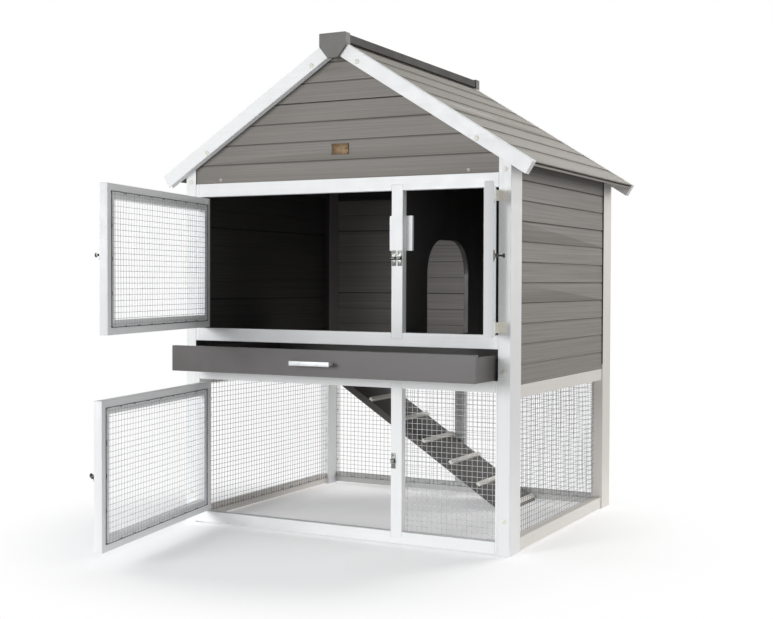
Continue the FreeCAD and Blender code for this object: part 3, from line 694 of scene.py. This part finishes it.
def studio():
    """Soft lights, a white backdrop and a pale floor that fades into it."""
    scene = bpy.context.scene
    scene.view_settings.view_transform = "Standard"
    scene.view_settings.look = "None"
    world = bpy.data.worlds.new("studio")
    scene.world = world
    world.use_nodes = True
    tree = world.node_tree
    tree.nodes.clear()
    seen = add_node(tree, "LightPath").outputs["Is Camera Ray"]
    soft = add_node(tree, "Background", {"Color": (0.98, 0.99, 1.0, 1.0), "Strength": 0.29})
    white = add_node(tree, "Background", {"Color": (1.0, 1.0, 1.0, 1.0), "Strength": 1.0})
    both = add_node(tree, "MixShader", {0: seen, 1: soft.outputs[0], 2: white.outputs[0]})
    output = tree.nodes.new("ShaderNodeOutputWorld")
    tree.links.new(both.outputs[0], output.inputs[0])

    cool, warm = (0.98, 0.99, 1.0), (1.0, 0.985, 0.955)
    middle = (0, 0, 0.6)
    area_light("front_left", (-1.7, -4.2, 1.45), middle, (1.6, 1.6), 62, cool)
    area_light("front", (-1.0, -4.3, 1.0), middle, (1.4, 1.2), 44, cool)
    area_light("left", (-3.6, -0.5, 1.4), middle, (2, 2), 56, cool)
    area_light("right", (3.8, -0.6, 1.8), middle, (2, 2), 26, warm)
    area_light("right_back", (2.7, 3.4, 1.55), (0.44, 0.2, 0.8), (2.0, 2.0), 50, warm)
    area_light("back_high", (1.0, 2.6, 3.3), middle, (2, 2), 58, warm)

    shape = bmesh.new()
    bmesh.ops.create_circle(shape, cap_ends=True, segments=96, radius=1.3)
    mesh = bpy.data.meshes.new("studio_floor")
    shape.to_mesh(mesh)
    shape.free()
    material, tree, shader = new_material("studio_floor_paint")
    cloud = stretched_noise(tree, object_coords(tree), (1.5, 1.5, 1.5), 0, 3, 0.5)
    value = ramp(tree, cloud, 0.3, 0.7, 0.985, 1.0)
    tree.links.new(tinted(tree, (0.93, 0.93, 0.94, 1), value), shader.inputs["Base Color"])
    tree.links.new(ramp(tree, cloud, 0.3, 0.7, 0.85, 0.9), shader.inputs["Roughness"])
    shader.inputs["Emission Color"].default_value = (1, 1, 1, 1)
    shader.inputs["Emission Strength"].default_value = 0.2
    away = add_node(tree, "VectorMath", {0: object_coords(tree)}, operation="LENGTH").outputs["Value"]
    glow = add_node(tree, "Emission", {"Color": (1, 1, 1, 1), "Strength": 1.0})
    fade = ramp(tree, away, 0.55, 0.95, 0, 1)
    blend = add_node(tree, "MixShader", {0: fade, 1: shader.outputs[0], 2: glow.outputs[0]})
    output = next(item for item in tree.nodes if item.bl_idname == "ShaderNodeOutputMaterial")
    tree.links.new(blend.outputs[0], output.inputs[0])
    mesh.materials.append(material)
    floor = bpy.data.objects.new("studio_floor", mesh)
    floor.location.z = -0.0005
    scene.collection.objects.link(floor)


set_camera()
studio()


# ------------------------------------------------------------------ CAD nodes kept as they are
def keep(material, *names, bevel=0.7 * MM, segments=2):
    """Gives CAD nodes a finish and eases their edges."""
    for name in names:
        node = NODES[name]
        node.data.materials.clear()
        node.data.materials.append(material)
        weld = node.modifiers.new("weld", "WELD")
        weld.merge_threshold = 1e-5
        if bevel:
            ease = node.modifiers.new("ease", "BEVEL")
            ease.width = bevel
            ease.segments = segments
            ease.limit_method = "ANGLE"
            ease.angle_limit = math.radians(30)
            ease.harden_normals = False


keep(front_left_z, "front_left_post", bevel=1.0 * MM)
keep(front_right_z, "front_right_post", bevel=1.0 * MM)
keep(rear_left_z, "rear_left_post", bevel=1.0 * MM)
keep(rear_right_z, "rear_right_post", bevel=1.0 * MM)
keep(white_z, "upper_centre_bar", "lower_centre_bar", "front_jambs", "door_stop", bevel=1.0 * MM)
keep(white_x, "front_top_rail", "front_middle_rail", "front_lower_rail", "front_bottom_rail",
     bevel=1.0 * MM)
keep(side_y, "side_rails", bevel=1.0 * MM)
keep(rear_shaded_x, "rear_frame", bevel=1.0 * MM)
# The boards inside the storey get the interior's painted shade colour.
keep(shaded_inner_x, "rear_floor", "ramp_landing", "floor_bearers", "roof_battens")
keep(shaded_inner_x, "arch_partition", bevel=0.8 * MM)
keep(ramp_board, "ramp_board", bevel=1.0 * MM)
keep(cleat_wood, "ramp_cleats", bevel=0.8 * MM)
keep(drawer_gray, "drawer_front", bevel=0.9 * MM)
keep(tray_gray, "drawer_tray")
keep(cap_shaded_gray, "ridge_cap", bevel=1.2 * MM, segments=3)
keep(ridge_gray, "ridge_end_caps", bevel=1.2 * MM, segments=3)
keep(hinge_cream, "hinge_plates", "hinge_pins", "upper_left_door_hinge_leaves",
     "upper_right_door_hinge_leaves", "lower_door_hinge_leaves", bevel=0.25 * MM)
keep(zinc, "ramp_hinge_plates", "ramp_hinge_leaves", bevel=0.25 * MM)

side_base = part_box("left_wall_boards")[0].z
rear_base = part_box("rear_wall_boards")[0].z
gable_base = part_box("front_gable_boards")[0].z
for node, axis, base, inward, inner in (
        ("left_wall_boards", 1, side_base, (1, 0, 0), INTERIOR_SHADE),
        ("right_wall_boards", 1, side_base, (-1, 0, 0), INTERIOR_SHADE),
        ("rear_wall_boards", 0, rear_base, (0, -1, 0), REAR_INTERIOR_LIT),
        ("rear_gable_boards", 0, gable_base, (0, -1, 0), INTERIOR_SHADE),
        ("front_gable_boards", 0, gable_base, (0, 1, 0), INTERIOR_SHADE)):
    keep(lap_material(node + "_finish", SIDING, inner, axis, base, LAP, 4, inward, offset=len(node)),
         node, bevel=0.5 * MM)
underside = max((p for p in NODES["right_roof_boards"].data.polygons if p.normal.z < -0.5),
                key=lambda p: p.area)
slope_angle = math.atan2(-underside.normal.x, -underside.normal.z)
for side, sign in (("left", -1), ("right", 1)):
    up = Vector((-sign * math.cos(slope_angle), 0, math.sin(slope_angle)))
    inward = Vector((-sign * math.sin(slope_angle), 0, -math.cos(slope_angle)))
    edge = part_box(f"{side}_roof_boards")
    low_edge = Vector((edge[0].x if sign < 0 else edge[1].x, 0, edge[0].z)).dot(up)
    keep(lap_material(f"{side}_roof_finish", LIT_ROOF, INTERIOR_SHADE, 1, low_edge, ROOF_LAP, 3, inward, up, 3.0 + sign),
         f"{side}_roof_boards", bevel=0.6 * MM)

# ------------------------------------------------------------------ screws
disc_head = screw_template("disc_screw", 4.7 * MM, 1.6 * MM, 0.45 * MM, 2.2 * MM, 0.8 * MM)
big_head = screw_template("big_screw", 6.0 * MM, 1.9 * MM, 0.42 * MM, 2.1 * MM, 0.9 * MM)
small_head = screw_template("small_screw", 2.5 * MM, 1.1 * MM, 0.3 * MM, 1.4 * MM, 0.8 * MM)
tiny_head = screw_template("tiny_screw", 1.9 * MM, 0.8 * MM, 0.25 * MM, 1.1 * MM, 0.6 * MM)


def frame_screws():
    """White heads on the posts and barge boards, two grey ones at the front gable's foot."""
    shape = bmesh.new()
    for low, high in solids("frame_screws"):
        middle = (low + high) / 2
        rear = middle.y > MIDDLE_Y
        plane = low.y if rear else high.y
        out = (0, 1, 0) if rear else (0, -1, 0)
        gable = abs(middle.z - GABLE_SCREW_Z) < 2 * MM and abs(middle.x) < GABLE_SCREW_REACH
        add_copy(shape, disc_head if gable else big_head,
                 facing((middle.x, plane, middle.z), out, RNG.uniform(0, 3)), int(gable))
    make_piece("frame_screw_heads", shape, [cap_paint, disc_gray], "hutch",
               replaces=["frame_screws"])


def barge_inserts():
    """A moulded insert in the slot at each barge board's eave end."""
    near, far = 1.2 * MM, 13.8 * MM               # up the slope from the board's end
    top, bottom = -6.2 * MM, -25.8 * MM           # square to the slope, from the roof's surface
    groove, thick = 7.2 * MM, 4.6 * MM
    shape = bmesh.new()
    for low, high in solids("barge_boards"):
        sign = 1 if low.x + high.x > 0 else -1
        up = Vector((-sign * math.cos(slope_angle), 0, math.sin(slope_angle)))
        out = Vector((sign * math.sin(slope_angle), 0, math.cos(slope_angle)))
        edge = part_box("right_roof_boards" if sign > 0 else "left_roof_boards")
        corner = Vector((edge[1].x if sign > 0 else edge[0].x, low.y + groove, 0))
        corner.z = edge[0].z + ROOF_T * math.cos(slope_angle)
        outline = [(near, top), (far, top), (far, bottom), (near, bottom)]
        add_prism(shape, outline, corner, up, out, (0, thick, 0))
    make_piece("barge_slot_inserts", shape, insert_cream, "hutch")


keep(board_material("barge_board_grain", WHITE, 0, offset=27), "barge_boards", bevel=1.0 * MM)
frame_screws()
barge_inserts()


# ------------------------------------------------------------------ run mesh
def run_panel(node, normal, sign, wire):
    """A fixed mesh panel. sign is the way its staples face, into the run."""
    low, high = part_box(node)
    shape = bmesh.new()
    wire_panel(shape, low, high, normal, 2.4 * MM)
    face = low[normal] if sign > 0 else high[normal]
    staple_rows(shape, low, high, normal, face, sign, 6 * MM, 50.8 * MM)
    make_piece(node + "_wires", shape, [wire, staple_and_edge_shade_metal], "hutch",
               replaces=[node], smooth=60)


run_panel("left_run_mesh", 0, 1, shaded_wire)
run_panel("right_run_mesh", 0, -1, shaded_wire)
run_panel("rear_run_mesh", 1, -1, shaded_wire)
run_panel("front_run_mesh", 1, 1, galvanised)


# ------------------------------------------------------------------ doors
def door_members(door, opening):
    """Two full-height stiles with two rails between them, each its own eased board."""
    shape = bmesh.new()
    heights = sorted({round(vert.co.z, 5) for vert in NODES[f"{door}_frame"].data.vertices})
    member = heights[1] - heights[0]
    low, high = solids(f"{door}_frame", opening.inverted())[0]      # the members touch: one box
    inner, outer = low.x + member, high.x - member
    for a0, a1, b0, b1, finish in ((low.x, inner, low.z, high.z, 0), (outer, high.x, low.z, high.z, 0),
                                   (inner, outer, low.z, low.z + member, 1),
                                   (inner, outer, high.z - member, high.z, 1)):
        add_box(shape, (a0, low.y, b0), (a1, high.y, b1), 1.1 * MM, 3, finish)
    make_piece(f"{door}_members", shape, [door_z, door_x], door, opening,
               [f"{door}_frame"], smooth=40)


def door_wires(door, opening):
    """The door's wire mesh, its staples and the edge wire round the sheet, the edge wire dark as painted
    shadow along the sheet's edge.
    """
    low, high = solids(f"{door}_mesh", opening.inverted())[0]
    shape = bmesh.new()
    wire_panel(shape, low, high, 1, 2.2 * MM)
    staple_rows(shape, low, high, 1, low.y, 1, 2.6 * MM, 66 * MM)
    y = (low.y + high.y) / 2
    rim = 0.8 * MM
    corners = [(low.x + rim, y, low.z + rim), (high.x - rim, y, low.z + rim),
               (high.x - rim, y, high.z - rim), (low.x + rim, y, high.z - rim)]
    # The edge wire in the dark staple steel: painted shadow along the sheet's edge.
    for index in range(4):
        add_tube(shape, [corners[index], corners[(index + 1) % 4]], 0.7 * MM, material=1)
    make_piece(f"{door}_wires", shape, [galvanised, staple_and_edge_shade_metal], door, opening,
               [f"{door}_mesh"], smooth=60)


def leaf_screws(door, opening):
    """Screws on the door's own hinge leaves."""
    moving = bmesh.new()
    pivot = JOINTS[DOORS[door]]["pos_m"][0]
    for low, high in solids(f"{door}_hinge_leaves", opening.inverted()):
        free = high.x if abs(high.x - pivot) > abs(low.x - pivot) else low.x
        inner = free + (7.5 * MM if free < pivot else -7.5 * MM)
        for z in (low.z + LEAF_SCREW_IN, high.z - LEAF_SCREW_IN):
            add_copy(moving, small_head, facing((inner, FRONT - LEAF_T, z), (0, -1, 0), RNG.uniform(0, 3)))
    make_piece(f"{door}_leaf_screws", moving, hinge_cream, door, opening)


def strap_outline(plate):
    """A strap bent round the bolt's rod, from the rod's centre; plate is the face it stands on."""
    inner, outer, foot, gauge = 2.75 * MM, 3.9 * MM, 7.2 * MM, 1.1 * MM
    omega = [(-foot, plate), (-foot, plate - gauge), (-outer, plate - gauge)]
    omega += [(outer * math.cos(math.radians(a)), outer * math.sin(math.radians(a)))
              for a in range(180, 361, 20)]
    omega += [(outer, plate - gauge), (foot, plate - gauge), (foot, plate), (inner, plate)]
    omega += [(inner * math.cos(math.radians(a)), inner * math.sin(math.radians(a)))
              for a in range(360, 179, -20)]
    return omega + [(-inner, plate)]


def rounded_outline(low, high, corner, steps=4):
    """A rectangle in X and Z with round corners."""
    outline = []
    for cx, cz, start in ((high.x - corner, high.z - corner, 0), (low.x + corner, high.z - corner, 90),
                          (low.x + corner, low.z + corner, 180), (high.x - corner, low.z + corner, 270)):
        for step in range(steps + 1):
            angle = math.radians(start + 90 * step / steps)
            outline.append((cx + corner * math.cos(angle), cz + corner * math.sin(angle)))
    return outline


def bolt_place(door, low, high):
    """Which way the free edge lies (1 or -1 along X), the plate's end there, and the rod's height."""
    toward = 1 if low.x > JOINTS[DOORS[door]]["pos_m"][0] else -1
    return toward, high.x if toward > 0 else low.x, (low.z + high.z) / 2


def bolt_plate(door, opening):
    """Plate with rounded corners, two bent straps and four screws."""
    straps = in_mm(((0.8, 6.2), (25.8, 31.2)))    # back from the plate's end at the free edge
    screw_x, screw_z, screw_inner = 4.6 * MM, 3.6 * MM, 9.6 * MM
    low, high = solids(f"{door}_bolt_case", opening.inverted())[0]
    toward, near, middle = bolt_place(door, low, high)
    shape = bmesh.new()
    outline = rounded_outline(low, high, 3.0 * MM)
    add_prism(shape, outline, (0, FRONT, 0), (1, 0, 0), (0, 0, 1), (0, -BOLT_PLATE_T, 0))
    omega = strap_outline(FRONT - BOLT_PLATE_T - ROD_Y)
    for a, b in straps:
        add_prism(shape, omega, (near - toward * a, ROD_Y, middle), (0, 0, 1), (0, 1, 0),
                  (-toward * (b - a), 0, 0))
    for x in (low.x + screw_x, high.x - screw_x):
        for z in (low.z + screw_z, high.z - screw_z):
            between = min(max(x, low.x + screw_inner), high.x - screw_inner)
            add_copy(shape, tiny_head, facing((between, FRONT - BOLT_PLATE_T, z), (0, -1, 0),
                                              RNG.uniform(0, 3)))
    make_piece(f"{door}_bolt_plate", shape, zinc, door, opening,
               [f"{door}_bolt_case"], smooth=50)


def bolt_rod(door, opening):
    """The sliding rod with eased ends, and its turned knob, in a dark steel that stands in for the shade
    round the knob's neck.
    """
    knob_back = 23.5 * MM
    case_low, case_high = solids(f"{door}_bolt_case", opening.inverted())[0]
    toward, near, middle = bolt_place(door, case_low, case_high)
    low, high = solids(f"{door}_bolt", opening.inverted())[0]
    length = high.x - low.x
    shape = bmesh.new()
    profile = [(1.6 * MM, 0), (2.35 * MM, 0.7 * MM), (2.5 * MM, 1.6 * MM), (2.5 * MM, length - 2.2 * MM),
               (2.3 * MM, length - 1.0 * MM), (1.3 * MM, length)]
    start = low.x if toward > 0 else high.x
    add_lathe(shape, profile, facing((start, ROD_Y, middle), (toward, 0, 0)))
    profile = [(2.2, 0.4), (2.2, 7.2), (2.0, 9.2), (2.0, 12.2), (3.0, 13.4), (4.4, 14.6), (5.0, 16.0),
               (4.7, 17.3), (3.5, 18.4), (1.7, 18.8)]
    knob = near - toward * knob_back
    add_lathe(shape, in_mm(profile), facing((knob, ROD_Y, middle), (0, -1, 0)))
    make_piece(f"{door}_bolt_rod", shape, rod_shade_steel, f"{door}_bolt", opening,
               [f"{door}_bolt"], smooth=50)


for door, joint in DOORS.items():
    opening = opening_matrix(joint)
    door_members(door, opening)
    door_wires(door, opening)
    leaf_screws(door, opening)
    bolt_plate(door, opening)
    bolt_rod(door, opening)


# ------------------------------------------------------------------ fixed hardware
def hinge_plate_screws():
    """Screws on the hinge leaves that stay on the posts."""
    shape = bmesh.new()
    for low, high in solids("hinge_plates"):
        left = low.x + high.x < 0
        x = low.x + 8 * MM if left else high.x - 8 * MM
        for z in (low.z + LEAF_SCREW_IN, high.z - LEAF_SCREW_IN):
            add_copy(shape, small_head, facing((x, FRONT - LEAF_T, z), (0, -1, 0), RNG.uniform(0, 3)))
    make_piece("hinge_plate_screws", shape, hinge_cream, "hutch")


def bolt_keepers():
    """A plate, a bent strap for the bolt's rod and two screws each."""
    shape = bmesh.new()
    rim = 1.2 * MM                                # plate left bare each side of the strap
    for low, high in solids("bolt_keepers"):
        x, middle = (low.x + high.x) / 2, (low.z + high.z) / 2
        add_box(shape, (low.x, FRONT - LEAF_T, low.z), (high.x, FRONT, high.z), 0.5 * MM, 2)
        add_prism(shape, strap_outline(FRONT - LEAF_T - ROD_Y), (low.x + rim, ROD_Y, middle),
                  (0, 0, 1), (0, 1, 0), (high.x - low.x - 2 * rim, 0, 0))
        for z in (low.z + 4.6 * MM, high.z - 4.6 * MM):
            add_copy(shape, small_head, facing((x, FRONT - LEAF_T, z), (0, -1, 0), RNG.uniform(0, 3)))
    make_piece("bolt_keeper_straps", shape, zinc, "hutch", replaces=["bolt_keepers"],
               smooth=50)


def name_plate():
    """A blank plate with a raised rim and two pins."""
    low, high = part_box("name_plate")
    shape = bmesh.new()
    add_box(shape, low, high, 0.6 * MM, 2)
    rim = 1.6 * MM
    lift = 0.5 * MM
    for a0, a1, b0, b1 in ((low.x, high.x, low.z, low.z + rim), (low.x, high.x, high.z - rim, high.z),
                           (low.x, low.x + rim, low.z, high.z), (high.x - rim, high.x, low.z, high.z)):
        add_box(shape, (a0, low.y - lift, b0), (a1, low.y + lift, b1), 0.3 * MM, 2)
    for x in (low.x + 5 * MM, high.x - 5 * MM):
        profile = [(1.5, 0), (1.5, 0.3), (1.2, 0.8), (0.5, 1.05)]
        add_lathe(shape, in_mm(profile), facing((x, low.y, (low.z + high.z) / 2), (0, -1, 0)), 16)
    make_piece("blank_name_plate", shape, plate_brass, "hutch",
               replaces=["name_plate"])


def drawer_handle():
    """A flat bar on two stubby feet."""
    low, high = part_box("drawer_handle")
    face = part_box("drawer_front")[0].y
    shape = bmesh.new()
    add_box(shape, (low.x, low.y, low.z), (high.x, low.y + 4 * MM, high.z), 1.3 * MM, 4)
    inset, half, ledge = 7 * MM, 3.5 * MM, 2 * MM
    for x in (low.x + inset, high.x - inset):
        add_box(shape, (x - half, low.y + 3 * MM, low.z + ledge), (x + half, face, high.z - ledge),
                0.8 * MM, 3)
    make_piece("drawer_bar_handle", shape, silver, "drawer",
               replaces=["drawer_handle"])


hinge_plate_screws()
bolt_keepers()
name_plate()
drawer_handle()
